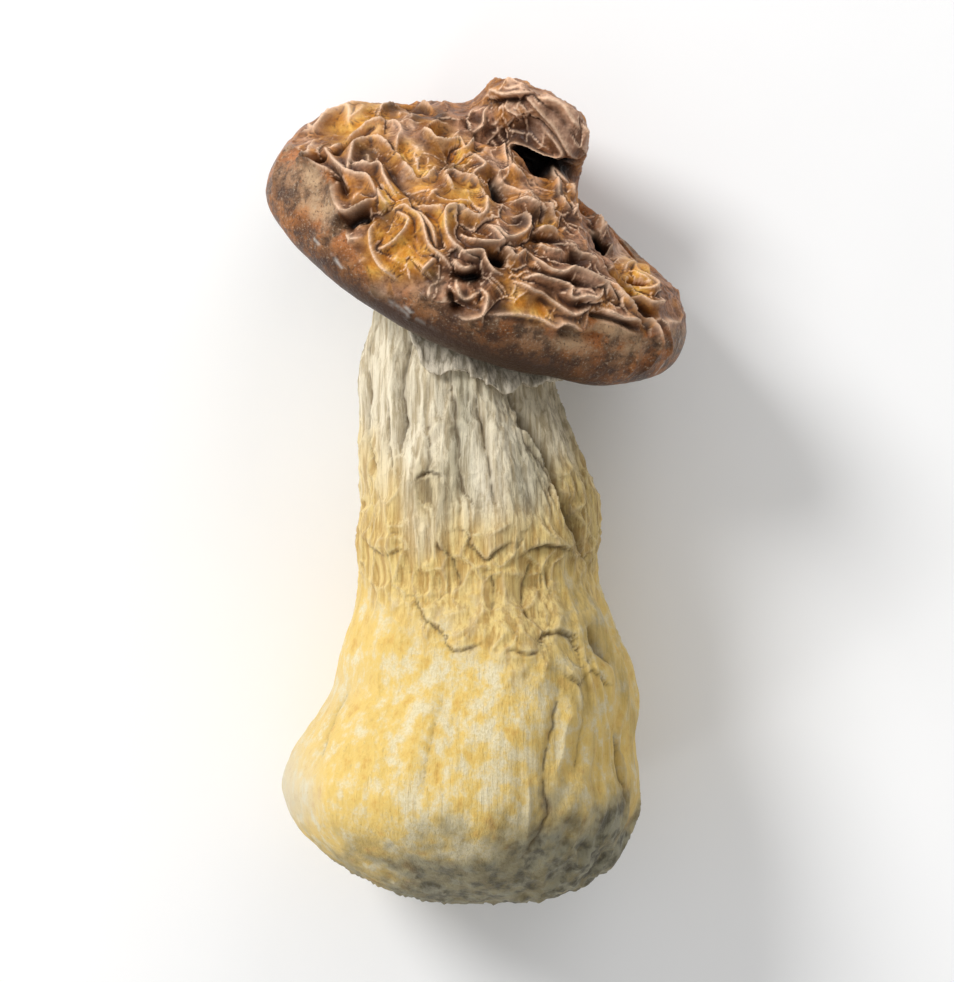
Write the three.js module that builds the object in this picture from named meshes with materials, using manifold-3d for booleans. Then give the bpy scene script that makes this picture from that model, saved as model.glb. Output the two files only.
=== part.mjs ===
// A dried mushroom with a fat bulbous stem, lying on its side on a flat surface.
// The stem runs along +Y from its bulb up to the cap, and +Z is up. The mushroom rests on the side
// of its bulb and on the edge of its cap, which both dried flat where they lay.
// The pieces are the cap, the gills under it, the stem, and what is left of the torn veil.

import * as THREE from "three";
import { mergeVertices } from "three/addons/utils/BufferGeometryUtils.js";
import Module from "manifold-3d";

const wasm = await Module();
wasm.setup();

// ---- Driving dimensions, in millimetres and degrees ----

const STEM_LENGTH = 48; // from the bulb's end to the middle of the cap's rim
const BULB_RADIUS = 13.2;
const BULB_THICKNESS = 24.8; // top to bottom, a little less than its width
const BULB_END = 9; // from the bulb's end to its widest place
const WAIST_RADIUS = 8.7; // half way up, above the bulb
const NECK_RADIUS = 7.2; // just below the cap
const TOP_RADIUS = 5.6; // inside the cap
const STEM_ROUNDNESS = 0.96; // height over width of the stem above the bulb

const CAP_RADIUS = 16.6; // half its longest way across
const CAP_NEAR = 12.3; // from its middle to the edge that faces up
const CAP_FAR = 14.6; // from its middle to the edge that it rests on
const CROWN_HEIGHT = 8.8; // from the plane of the rim to the top of the cap
const MARGIN_DEPTH = 4.6; // thickness of the rolled margin
const MARGIN_ROLL = 4.2; // how far the margin rolls in, from the rim to the lip
const FLESH = 4.6; // from the top of the cap down to its ceiling above the gills
const CEILING_DROP = 2.2; // how much lower the ceiling is at the lip than in the middle
const THINNEST = 1.2; // flesh that is left under the deepest crease
const CAP_TURN = 26; // the cap's long side, turned clockwise seen from above
const CAP_TILT = 28; // the cap's axis, raised from the surface it lies on

const HOOD_WIDTH = 8.8; // the fold that stands up beyond the crown
const HOOD_RISE = 4.9;
const HOOD_CURL = 2.6; // how far the fold's top curls back over the crown
const HOOD_LEAN = 0.7; // how far it leans sideways over the crease beside it

const GILLS = 34;
const GILL_DEPTH = 3;
const GILL_PLATE = 0.9; // what joins the gills along the cap's ceiling

const VEIL_THICKNESS = 0.55;
const VEIL_HEIGHT = 6; // at its tallest, where it hangs below the cap

const GAP = 0.35; // between pieces that touch
const FLAT = 0.8; // how deep the resting places are pressed flat

// ---- What follows from them ----

const turn = THREE.MathUtils.degToRad(CAP_TURN);
const tilt = THREE.MathUtils.degToRad(CAP_TILT);
const capFrame = new THREE.Quaternion().setFromEuler(new THREE.Euler(tilt, 0, -turn, "ZYX"));
const lip = CAP_RADIUS - MARGIN_ROLL;
const roll = MARGIN_DEPTH / 2;
const capHeight = (CAP_FAR - roll) * Math.cos(tilt) + roll - FLAT;
const bulbHeight = BULB_THICKNESS / 2 - FLAT;
const capMiddle = new THREE.Vector3(0, STEM_LENGTH, capHeight);

// The middle of the stem's section and half its width, at each distance from the bulb's end.
const stations = [
  { at: 0, side: 0.6, height: bulbHeight, radius: BULB_RADIUS },
  { at: BULB_END, side: -1.2, height: bulbHeight, radius: BULB_RADIUS },
  { at: 0.35 * STEM_LENGTH, side: 0.9, height: bulbHeight, radius: 0.5 * BULB_RADIUS + 0.5 * WAIST_RADIUS },
  { at: 0.5 * STEM_LENGTH, side: 0.2, height: 0.98 * bulbHeight, radius: WAIST_RADIUS },
  { at: 0.62 * STEM_LENGTH, side: 0.3, height: 0.99 * bulbHeight, radius: WAIST_RADIUS },
  { at: 0.79 * STEM_LENGTH, side: -1.2, height: bulbHeight, radius: NECK_RADIUS },
  { at: 0.92 * STEM_LENGTH, side: -0.6, height: capHeight - 0.4, radius: 0.5 * (NECK_RADIUS + TOP_RADIUS) },
  { at: STEM_LENGTH, side: 0, height: capHeight, radius: TOP_RADIUS },
];

// ---- Joining and cutting ----

function solidOf(geometry) {
  const bare = geometry.clone();
  bare.deleteAttribute("normal");
  bare.deleteAttribute("uv");
  const merged = mergeVertices(bare, 1e-3);
  const vertProperties = new Float32Array(merged.attributes.position.array);
  const triVerts = new Uint32Array(merged.index.array);
  return new wasm.Manifold(new wasm.Mesh({ numProp: 3, vertProperties, triVerts }));
}

function geometryOf(solid) {
  const { vertProperties, triVerts } = solid.getMesh();
  const geometry = new THREE.BufferGeometry();
  geometry.setAttribute("position", new THREE.BufferAttribute(vertProperties, 3));
  geometry.setIndex(new THREE.BufferAttribute(triVerts, 1));
  geometry.computeVertexNormals();
  return geometry;
}

function reshape(geometry, move) {
  const position = geometry.attributes.position;
  const point = new THREE.Vector3();
  for (let i = 0; i < position.count; i += 1) {
    move(point.fromBufferAttribute(position, i));
    position.setXYZ(i, point.x, point.y, point.z);
  }
  return geometry;
}

// Everything below the surface that the mushroom lies on.
const below = solidOf(new THREE.BoxGeometry(200, 300, 40).translate(0, 0, -20));

// ---- The stem ----

// Reads one size of the stem between its stations, without overshooting.
function alongStem(key, at) {
  const last = stations.length - 1;
  const next = THREE.MathUtils.clamp(stations.findIndex((station) => station.at > at), 1, last);
  const to = at > stations[last].at ? last : next;
  const share = (at - stations[to - 1].at) / (stations[to].at - stations[to - 1].at);
  const eased = THREE.MathUtils.smoothstep(share, 0, 1);
  return THREE.MathUtils.lerp(stations[to - 1][key], stations[to][key], 0.5 * (share + eased));
}

// Long folds run down the stem. They are deepest at the neck and fade on the bulb.
function stemFolds(angle, at) {
  const up = at / STEM_LENGTH;
  const strength = 0.3 + 0.7 * THREE.MathUtils.smoothstep(up, 0.25, 0.75);
  const waves =
    0.032 * Math.cos(5 * angle + 1.1 - 1.5 * up) +
    0.024 * Math.cos(8 * angle + 2.4 * up) +
    0.014 * Math.cos(13 * angle + 0.7);
  const lumps = 0.022 * Math.sin(9 * up * Math.PI + 2 * angle) * Math.cos(5 * up * Math.PI - angle);
  return 1 + strength * waves + lumps;
}

// A point on a section of the stem, some distance off its surface.
function stemPoint(at, angle, share, off) {
  const end = Math.max(0, 1 - at / BULB_END);
  const rounding = Math.sqrt(Math.max(0, 1 - end * end));
  const above = THREE.MathUtils.smoothstep(at, BULB_END, 0.6 * STEM_LENGTH);
  const roundness = THREE.MathUtils.lerp(BULB_THICKNESS / 2 / BULB_RADIUS, STEM_ROUNDNESS, above);
  const radius = alongStem("radius", at) * rounding * stemFolds(angle, at);
  const reach = share * (radius + off);
  const bend = THREE.MathUtils.smoothstep(at, 0.74 * STEM_LENGTH, STEM_LENGTH);
  const facing = new THREE.Quaternion().slerp(capFrame, bend);
  const beyond = Math.max(0, at - STEM_LENGTH);
  const section = new THREE.Vector3(reach * Math.cos(angle), beyond, roundness * reach * Math.sin(angle));
  const middle = new THREE.Vector3(alongStem("side", at), at - beyond, alongStem("height", at));
  return section.applyQuaternion(facing).add(middle);
}

function stemShape(top, off) {
  const first = 0.04 * BULB_END;
  const profile = [new THREE.Vector2(0, first)];
  const rings = 38;
  for (let i = 0; i <= rings; i += 1) {
    const share = i / rings;
    profile.push(new THREE.Vector2(1, first + (top - first) * share ** 1.25));
  }
  profile.push(new THREE.Vector2(0, top));
  return reshape(new THREE.LatheGeometry(profile, 40), (point) => {
    const share = Math.hypot(point.x, point.z);
    point.copy(stemPoint(point.y, Math.atan2(point.z, point.x), share, off));
  });
}

const ceilingMiddle = CROWN_HEIGHT - FLESH;
const stemTop = STEM_LENGTH + ceilingMiddle - CEILING_DROP * (TOP_RADIUS / lip) - 2 * GAP;
const stemSolid = solidOf(stemShape(stemTop, 0));
const stemRoom = solidOf(stemShape(STEM_LENGTH + CROWN_HEIGHT - 0.75 * FLESH, GAP));

// ---- The cap ----
// In the cap's own frame x is sideways, y is up through the crown and z is towards the near edge.

const ceilingAt = (reach) => ceilingMiddle - CEILING_DROP * (reach / lip);

// Lowered places and creases on top of the cap, at shares of its radius.
const dents = [
  { x: -0.66, z: 0.12, size: 0.2, depth: 0.9 },
  { x: -0.42, z: 0.34, size: 0.2, depth: 1.1 },
  { x: -0.3, z: -0.12, size: 0.16, depth: 0.8 },
  { x: -0.05, z: 0.3, size: 0.17, depth: 1.0 },
  { x: 0.1, z: 0.02, size: 0.14, depth: 1.0 },
  { x: 0.34, z: 0.3, size: 0.15, depth: 0.9 },
  { x: 0.62, z: 0.0, size: 0.16, depth: 0.7 },
  { x: 0.62, z: -0.56, size: 0.36, depth: 2.9 },
  { x: -0.5, z: -0.5, size: 0.18, depth: 0.6 },
  { x: 0.3, z: -0.6, size: 0.2, depth: 0.9 },
];
const creases = [
  { from: [0.33, -0.85], to: [0.29, -0.34], size: 0.09, depth: 3.0 },
  { from: [0.3, -0.34], to: [0.44, 0], size: 0.075, depth: 1.5 },
  { from: [0.44, 0], to: [0.84, 0.42], size: 0.07, depth: 1.5 },
  { from: [-0.14, -0.3], to: [0.26, -0.26], size: 0.1, depth: 2.2 },
  { from: [-0.9, 0.1], to: [-0.5, -0.3], size: 0.07, depth: 0.8 },
];

function distanceToCrease(x, z, { from, to }) {
  const run = new THREE.Vector2(to[0] - from[0], to[1] - from[1]);
  const toPoint = new THREE.Vector2(x - from[0], z - from[1]);
  const share = THREE.MathUtils.clamp(toPoint.dot(run) / run.lengthSq(), 0, 1);
  return toPoint.sub(run.multiplyScalar(share)).length();
}

// How far the skin has sunk at one place on top of the cap.
function sinking(x, z) {
  let depth = 0;
  for (const dent of dents) {
    const distance = Math.hypot(x - dent.x, z - dent.z) / dent.size;
    depth += dent.depth * Math.exp(-distance * distance);
  }
  for (const crease of creases) {
    const distance = distanceToCrease(x, z, crease) / crease.size;
    depth += crease.depth * Math.exp(-distance * distance);
  }
  const wrinkles = Math.sin(21 * x + 5 * z) * Math.sin(17 * z - 6 * x + 1);
  return depth - 0.35 * wrinkles;
}

// The fold that stands up beyond the crown: 1 on it, 0 away from it.
function hoodAt(x, z) {
  const across = (2 * (x - 0.01 * CAP_RADIUS)) / HOOD_WIDTH;
  const deep = (z + 0.56 * CAP_RADIUS) / (0.27 * CAP_RADIUS);
  return Math.exp(-(across ** 6)) * Math.exp(-(deep ** 4));
}

// The rim's wavy outline, as a share of its radius.
function rimWave(angle) {
  return (
    1 +
    0.018 * Math.cos(3 * angle + 0.6) +
    0.014 * Math.cos(5 * angle - 1.2) +
    0.008 * Math.cos(9 * angle + 0.4)
  );
}

// How far the skin can sink before the flesh above the gills gets too thin.
function fleshToSpare(height, reach) {
  const beyondLip = Math.max(0, reach - lip);
  return Math.max(0, height - ceilingAt(reach) - THINNEST + 1.5 * beyondLip);
}

function capPoint(point) {
  const reach = Math.hypot(point.x, point.z);
  const angle = Math.atan2(point.z, point.x);
  const top = THREE.MathUtils.smoothstep(point.y - ceilingAt(reach), 0.6, 2.6);
  const outer = reach / CAP_RADIUS;
  const wave = THREE.MathUtils.lerp(1, rimWave(angle), outer * outer);
  const length = (point.z > 0 ? CAP_NEAR : CAP_FAR) / CAP_RADIUS;
  const x = point.x * wave;
  const z = point.z * wave * length;
  const skin = top * THREE.MathUtils.smoothstep(CAP_RADIUS - reach, 0.2, 2.4);
  const hood = skin * hoodAt(x, z);
  const sinks = skin * sinking(point.x / CAP_RADIUS, point.z / CAP_RADIUS) * (1 - 0.7 * hood);
  const sunk = Math.min(sinks, fleshToSpare(point.y, reach));
  const sway = 0.15 * Math.sin(2 * angle + 0.5) * outer ** 3;
  point.set(x + HOOD_LEAN * hood, point.y + sway - sunk + HOOD_RISE * hood, z + HOOD_CURL * hood * hood);
}

function capProfile() {
  const profile = [new THREE.Vector2(0, ceilingAt(0))];
  for (const share of [0.3, 0.6, 0.85]) {
    profile.push(new THREE.Vector2(share * lip, ceilingAt(share * lip)));
  }
  profile.push(new THREE.Vector2(lip, ceilingAt(lip)));
  profile.push(new THREE.Vector2(lip + 0.1 * MARGIN_ROLL, -0.3 * MARGIN_DEPTH));
  const outerRoll = CAP_RADIUS - roll;
  for (const degrees of [-115, -80, -50, -25, 0]) {
    const bend = THREE.MathUtils.degToRad(degrees);
    const x = outerRoll + roll * Math.cos(bend);
    profile.push(new THREE.Vector2(x, roll * Math.sin(bend)));
  }
  const steps = 22;
  for (let i = 1; i <= steps; i += 1) {
    const rise = (i / steps) * (Math.PI / 2);
    profile.push(new THREE.Vector2(CAP_RADIUS * Math.cos(rise), CROWN_HEIGHT * Math.sin(rise) ** 0.9));
  }
  profile[profile.length - 1].x = 0;
  return profile;
}

function placeCap(geometry) {
  return geometry.applyQuaternion(capFrame).translate(capMiddle.x, capMiddle.y, capMiddle.z);
}

const capShape = placeCap(reshape(new THREE.LatheGeometry(capProfile(), 66), capPoint));
const capSolid = solidOf(capShape).subtract(stemRoom);

// ---- The gills ----
// Four steps around the ring make one gill and the space beside it.

function gillShape() {
  const inner = TOP_RADIUS - 2;
  const outer = lip - 2 * GAP;
  const profile = [];
  const reaches = [0, 0.5, 1].map((share) => THREE.MathUtils.lerp(inner, outer, share));
  for (const reach of reaches) profile.push(new THREE.Vector2(reach, -1));
  for (const reach of [...reaches].reverse()) profile.push(new THREE.Vector2(reach, 1));
  profile.push(profile[0].clone());
  const segments = 4 * GILLS;
  return reshape(new THREE.LatheGeometry(profile, segments), (point) => {
    const reach = Math.hypot(point.x, point.z);
    const step = Math.round((Math.atan2(point.z, point.x) / (2 * Math.PI)) * segments);
    const onGill = ((step % 4) + 4) % 4 < 2;
    const share = (reach - inner) / (outer - inner);
    const depth = onGill ? GILL_DEPTH * (1 - 0.45 * share * share) : 0;
    const ceiling = ceilingAt(reach) - GAP;
    point.y = point.y > 0 ? ceiling : ceiling - GILL_PLATE - depth;
    capPoint(point);
  });
}

const gillSolid = solidOf(placeCap(gillShape())).subtract(stemRoom);

// ---- The veil ----
// A torn collar around the neck. It hangs lowest on one side of the face that is up.

const veilSide = THREE.MathUtils.degToRad(58);

function veilDrop(angle) {
  const hanging = THREE.MathUtils.smoothstep(Math.cos(angle - veilSide), 0.25, 0.97);
  const rags = 0.1 * Math.sin(7 * angle + 0.5) + 0.07 * Math.sin(12 * angle) + 0.05 * Math.sin(19 * angle);
  return VEIL_HEIGHT * (0.24 + 0.6 * hanging + rags * (0.4 + 0.9 * hanging));
}

function veilShape() {
  const profile = [];
  const shares = [0, 0.25, 0.5, 0.75, 1];
  for (const share of shares) profile.push(new THREE.Vector2(2, share));
  for (const share of [...shares].reverse()) profile.push(new THREE.Vector2(1, share));
  profile.push(profile[0].clone());
  const top = 0.93 * STEM_LENGTH;
  return reshape(new THREE.LatheGeometry(profile, 56), (point) => {
    const outside = Math.hypot(point.x, point.z) > 1.5;
    const angle = Math.atan2(point.z, point.x);
    const share = point.y;
    const flare = 0.5 * (1 - share) ** 2;
    const off = GAP + flare + (outside ? VEIL_THICKNESS : 0);
    point.copy(stemPoint(top - (1 - share) * veilDrop(angle), angle, 1, off));
  });
}

// ---- The whole mushroom ----

const veilSolid = solidOf(veilShape());

const skins = {
  cap: { color: 0x6b3f22, roughness: 0.42 },
  gills: { color: 0x2e2028, roughness: 0.85 },
  stem: { color: 0xd8c690, roughness: 0.9 },
  veil_remnant: { color: 0xb9bcae, roughness: 0.9 },
};

function addPiece(group, name, solid) {
  const material = new THREE.MeshStandardMaterial({ ...skins[name], metalness: 0 });
  const mesh = new THREE.Mesh(geometryOf(solid), material);
  mesh.name = name;
  group.add(mesh);
}

const group = new THREE.Group();
addPiece(group, "cap", capSolid.subtract(below));
addPiece(group, "gills", gillSolid.subtract(below));
addPiece(group, "stem", stemSolid.subtract(below));
addPiece(group, "veil_remnant", veilSolid);

const box = new THREE.Box3().setFromObject(group);
const middle = box.getCenter(new THREE.Vector3());
for (const mesh of group.children) mesh.geometry.translate(-middle.x, -middle.y, -box.min.z);

export default group;
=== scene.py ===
"""A dried mushroom lying on its side: a crumpled cap, gills, torn veil and a fibrous bulbous stem.

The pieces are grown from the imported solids. Each solid is remeshed finely and its skin is then
wrinkled, so every size follows the frame. Lengths in the numpy work are in millimetres.
"""
import math

import bpy
import numpy as np
from mathutils import Matrix, Vector
from mathutils.bvhtree import BVHTree
from mathutils.kdtree import KDTree


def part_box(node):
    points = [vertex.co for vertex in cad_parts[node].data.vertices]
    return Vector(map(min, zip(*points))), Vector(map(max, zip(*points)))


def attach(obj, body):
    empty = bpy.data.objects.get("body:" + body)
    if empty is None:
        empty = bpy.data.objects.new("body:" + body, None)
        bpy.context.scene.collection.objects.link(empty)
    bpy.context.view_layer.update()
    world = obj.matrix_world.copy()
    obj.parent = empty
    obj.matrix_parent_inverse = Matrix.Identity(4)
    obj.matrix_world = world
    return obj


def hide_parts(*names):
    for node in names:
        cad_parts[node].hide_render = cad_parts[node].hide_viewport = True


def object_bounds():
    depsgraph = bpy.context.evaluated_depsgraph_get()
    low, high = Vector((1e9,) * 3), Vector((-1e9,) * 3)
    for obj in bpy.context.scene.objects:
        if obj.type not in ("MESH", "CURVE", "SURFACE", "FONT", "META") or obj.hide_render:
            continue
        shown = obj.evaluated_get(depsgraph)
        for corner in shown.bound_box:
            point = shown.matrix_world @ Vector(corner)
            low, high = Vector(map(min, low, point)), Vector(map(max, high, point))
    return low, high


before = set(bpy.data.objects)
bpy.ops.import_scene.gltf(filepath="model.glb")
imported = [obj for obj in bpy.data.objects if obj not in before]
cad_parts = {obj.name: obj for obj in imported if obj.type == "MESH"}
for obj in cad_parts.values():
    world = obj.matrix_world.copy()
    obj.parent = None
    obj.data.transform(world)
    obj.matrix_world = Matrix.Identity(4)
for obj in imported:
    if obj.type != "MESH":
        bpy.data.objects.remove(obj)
cad_low, cad_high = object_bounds()
MM = 1000.0  # millimetres in a metre

# ---- The cap's own frame, as in the CAD ----
CAP_TURN = math.radians(26)
CAP_TILT = math.radians(28)
CAP_RADIUS = 16.6  # half its longest way across
CAP_NEAR = 12.3  # from its middle to the edge that faces up
CAP_FAR = 14.6  # from its middle to the edge that it rests on
CEILING_HEIGHT = 4.2  # of the cap's ceiling over the rim's plane, in the middle
CEILING_DROP = 2.2  # how much lower the ceiling is at the lip
LIP = 12.4  # from the middle to where the margin rolls in
STEM_LENGTH = 48.0
cap_low, cap_high = (np.array(v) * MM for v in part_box("cap"))
stem_low = np.array(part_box("stem")[0]) * MM
# The middle of the cap's rim lies at about these shares of the cap's box.
CAP_MIDDLE = np.array([
    0.5 * (cap_low[0] + cap_high[0]),
    cap_low[1] + 0.439 * (cap_high[1] - cap_low[1]),
    cap_low[2] + 0.503 * (cap_high[2] - cap_low[2]),
])
SIDEWAYS = np.array([math.cos(CAP_TURN), -math.sin(CAP_TURN), 0.0])
CROWN = np.array([
    math.cos(CAP_TILT) * math.sin(CAP_TURN),
    math.cos(CAP_TILT) * math.cos(CAP_TURN),
    math.sin(CAP_TILT),
])
NEAR = np.cross(SIDEWAYS, CROWN)


# ---- Noise, in numpy, the same on every run ----
def hashed(ix, iy, iz, seed):
    """A number from 0 to 1 for each whole-numbered place, the same for the same seed."""
    h = (ix * 374761393 + iy * 668265263 + iz * 1440662683 + seed * 974634777) & 0xFFFFFFFF
    h = ((h ^ (h >> 13)) * 1274126177) & 0xFFFFFFFF
    h = ((h ^ (h >> 15)) * 2246822519) & 0xFFFFFFFF
    return (h ^ (h >> 16)).astype(np.float64) / 4294967295.0


def noise(p, size, seed=0):
    """Smooth noise from -1 to 1. size is the width of its bumps: one number, or one for each axis."""
    q = p / np.asarray(size, float)
    cell = np.floor(q).astype(np.int64)
    f = q - cell
    f = f * f * f * (f * (f * 6 - 15) + 10)
    total = np.zeros(len(p))
    for dx in (0, 1):
        wx = f[:, 0] if dx else 1 - f[:, 0]
        for dy in (0, 1):
            wy = f[:, 1] if dy else 1 - f[:, 1]
            for dz in (0, 1):
                wz = f[:, 2] if dz else 1 - f[:, 2]
                total += wx * wy * wz * hashed(cell[:, 0] + dx, cell[:, 1] + dy, cell[:, 2] + dz, seed)
    return 2 * total - 1


def rough(p, size, seed=0, octaves=4, gain=0.5):
    """Noise with ever smaller bumps added to it."""
    total, weight, scale = np.zeros(len(p)), 1.0, np.asarray(size, float)
    for k in range(octaves):
        total += weight * noise(p, scale, seed + 17 * k)
        weight *= gain
        scale = scale * 0.5
    return total


def cells(p, size, seed=0):
    """Distance from each point to the nearest cell edge, in cell widths, and the cell's own number."""
    q = p / np.asarray(size, float)
    base = np.floor(q).astype(np.int64)
    best = np.full(len(p), 9.0)
    second = np.full(len(p), 9.0)
    own = np.zeros(len(p))
    for dx in (-1, 0, 1):
        for dy in (-1, 0, 1):
            for dz in (-1, 0, 1):
                c = base + (dx, dy, dz)
                spot = np.stack([hashed(*c.T, seed + s) for s in (1, 2, 3)], 1)
                gap = np.linalg.norm(c + spot - q, axis=1)
                nearer = gap < best
                second = np.where(nearer, best, np.minimum(second, gap))
                own = np.where(nearer, hashed(*c.T, seed + 4), own)
                best = np.where(nearer, gap, best)
    return 0.5 * (second - best), own


def warped(p, size, amount, seed=0):
    """Points pushed about by noise, so that what is laid out on them looks grown."""
    return p + amount * np.stack([noise(p, size, seed + s) for s in (31, 57, 93)], 1)


def step(a, b, x):
    """Rises smoothly from 0 where x is a to 1 where x is b."""
    t = np.clip((x - a) / (b - a), 0, 1)
    return t * t * (3 - 2 * t)


def bump(x, width):
    """1 where x is 0, and fading to 0 over about twice the width."""
    return np.exp(-((x / width) ** 2))


# ---- Meshes ----
def positions(mesh):
    co = np.zeros(len(mesh.vertices) * 3, np.float32)
    mesh.vertices.foreach_get("co", co)
    return co.reshape(-1, 3).astype(np.float64)


def set_positions(mesh, p):
    mesh.vertices.foreach_set("co", p.astype(np.float32).ravel())
    mesh.update()


def normals(mesh):
    mesh.update()
    n = np.zeros(len(mesh.vertices) * 3, np.float32)
    mesh.vertices.foreach_get("normal", n)
    return n.reshape(-1, 3).astype(np.float64)


def edges(mesh):
    e = np.zeros(len(mesh.edges) * 2, np.int32)
    mesh.edges.foreach_get("vertices", e)
    return e.reshape(-1, 2)


def relaxed(p, e, rounds, share=0.5):
    """Points or values smoothed along the mesh's edges."""
    count = np.bincount(e.ravel(), minlength=len(p)).astype(float)
    for _ in range(rounds):
        total = np.stack([
            np.bincount(e[:, 0], p[e[:, 1], k], len(p)) + np.bincount(e[:, 1], p[e[:, 0], k], len(p))
            for k in range(p.shape[1])
        ], 1)
        p = p + share * (total / count[:, None] - p)
    return p


def surface_at(mesh, p):
    """The mesh's surface with its points at p, for rays to hit."""
    return BVHTree.FromPolygons([Vector(v) for v in p], [f.vertices[:] for f in mesh.polygons])


def curving(mesh, p, e, rounds=3):
    """How sharply the surface bends, about 1 where it bends a lot: above 0 in valleys, below 0 on ridges."""
    bend = ((relaxed(p, e, rounds) - p) * normals(mesh)).sum(1)
    return bend / np.percentile(np.abs(bend), 92)


def grown(node, voxel, soften, finer=1):
    """A new object, in millimetres, with the solid's shape on an even mesh."""
    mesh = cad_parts[node].data.copy()
    mesh.transform(Matrix.Scale(MM, 4))
    obj = bpy.data.objects.new(node + "_grown", mesh)
    bpy.context.scene.collection.objects.link(obj)
    remesh = obj.modifiers.new("even", "REMESH")
    remesh.mode, remesh.voxel_size, remesh.adaptivity = "VOXEL", voxel, 0.0
    apply_modifiers(obj)
    mesh = obj.data
    set_positions(mesh, relaxed(positions(mesh), edges(mesh), soften))
    if finer:
        fine = obj.modifiers.new("finer", "SUBSURF")
        fine.levels = fine.render_levels = finer
        apply_modifiers(obj)
    return obj


def apply_modifiers(obj):
    depsgraph = bpy.context.evaluated_depsgraph_get()
    mesh = bpy.data.meshes.new_from_object(obj.evaluated_get(depsgraph))
    old = obj.data
    obj.modifiers.clear()
    obj.data = mesh
    bpy.data.meshes.remove(old)


def paint(mesh, **values):
    """Stores values from 0 to 1 at the mesh's points, for the materials to read."""
    for name, value in values.items():
        layer = mesh.attributes.get(name) or mesh.attributes.new(name, "FLOAT", "POINT")
        layer.data.foreach_set("value", np.clip(value, 0, 1).astype(np.float32))


def hand_over(obj, name, slot, material, *nodes):
    """Turns a finished piece from millimetres to metres and gives it its place in the model."""
    obj.name = obj.data.name = name
    obj.data.transform(Matrix.Scale(1 / MM, 4))
    obj.data.shade_smooth()
    obj.data.materials.clear()
    obj.data.materials.append(material)
    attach(obj, "root")
    if nodes:
        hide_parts(*nodes)
    return obj


# ---- Shader helpers ----
class Shader:
    """Builds one node material. Places in it are in millimetres, in the frame that the CAD shares."""

    def __init__(self, name):
        self.material = bpy.data.materials.new(name)
        self.material.use_nodes = True
        self.tree = self.material.node_tree
        self.bsdf = self.tree.nodes["Principled BSDF"]
        place = self.node("ShaderNodeTexCoord")
        scale = self.node("ShaderNodeMapping")
        scale.inputs["Scale"].default_value = (MM, MM, MM)
        self.link(place.outputs["Object"], scale.inputs["Vector"])
        self.place = scale.outputs["Vector"]

    def node(self, kind, **settings):
        made = self.tree.nodes.new(kind)
        for key, value in settings.items():
            setattr(made, key, value)
        return made

    def link(self, a, b):
        self.tree.links.new(a, b)

    def feed(self, socket, value):
        if isinstance(value, (int, float)):
            socket.default_value = value
        elif isinstance(value, tuple):
            socket.default_value = value if len(value) != 3 or socket.type == "VECTOR" else (*value, 1)
        else:
            self.link(value, socket)

    def attribute(self, name):
        return self.node("ShaderNodeAttribute", attribute_name=name).outputs["Fac"]

    def stretched(self, scale):
        mapping = self.node("ShaderNodeMapping")
        mapping.inputs["Scale"].default_value = scale
        self.link(self.place, mapping.inputs["Vector"])
        return mapping.outputs["Vector"]

    def noise(self, scale, detail=4, rough=0.55, place=None):
        made = self.node("ShaderNodeTexNoise")
        self.link(place or self.place, made.inputs["Vector"])
        made.inputs["Scale"].default_value = scale
        made.inputs["Detail"].default_value = detail
        made.inputs["Roughness"].default_value = rough
        return made.outputs["Fac"]

    def math(self, kind, a, b):
        made = self.node("ShaderNodeMath", operation=kind)
        self.feed(made.inputs[0], a)
        self.feed(made.inputs[1], b)
        return made.outputs[0]

    def fit(self, value, low, high, to_low=0.0, to_high=1.0):
        made = self.node("ShaderNodeMapRange", interpolation_type="SMOOTHSTEP")
        self.feed(made.inputs["Value"], value)
        keys = ("From Min", "From Max", "To Min", "To Max")
        for key, number in zip(keys, (low, high, to_low, to_high)):
            self.feed(made.inputs[key], number)
        return made.outputs["Result"]

    def mix(self, share, a, b):
        """The colour a, and more and more of b as the share goes from 0 to 1."""
        made = self.node("ShaderNodeMix", data_type="RGBA")
        self.feed(made.inputs["Factor"], share)
        self.feed(made.inputs[6], a)
        self.feed(made.inputs[7], b)
        return made.outputs[2]

    def cover(self, base, mask, strength, colour):
        """The base colour with another one over it where the mask is."""
        return self.mix(self.math("MULTIPLY", mask, strength), base, colour)

    def bumps(self, *layers):
        """Each layer is (height, depth in millimetres)."""
        last = None
        for height, depth in layers:
            made = self.node("ShaderNodeBump")
            made.inputs["Strength"].default_value = 1.0
            made.inputs["Distance"].default_value = depth / MM
            self.link(height, made.inputs["Height"])
            if last is not None:
                self.link(last, made.inputs["Normal"])
            last = made.outputs["Normal"]
        self.link(last, self.bsdf.inputs["Normal"])

    def finish(self, color, roughness, **sockets):
        self.feed(self.bsdf.inputs["Base Color"], color)
        self.feed(self.bsdf.inputs["Roughness"], roughness)
        for name, value in sockets.items():
            self.feed(self.bsdf.inputs[name.replace("_", " ")], value)
        return self.material


def rgb(r, g, b):
    """A colour given as the eye sees it, from 0 to 255, as the linear one that the shader takes."""
    shares = (r / 255, g / 255, b / 255)
    return tuple(x / 12.92 if x <= 0.04045 else ((x + 0.055) / 1.055) ** 2.4 for x in shares)


# ---- Camera, light and floor ----
SHARE_OF_PICTURE = 0.84  # of its height, from the bulb's end to the tip of the cap


def look_from(obj, place, target):
    obj.location = place
    obj.rotation_euler = (Vector(target) - Vector(place)).to_track_quat("-Z", "Y").to_euler()


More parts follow.
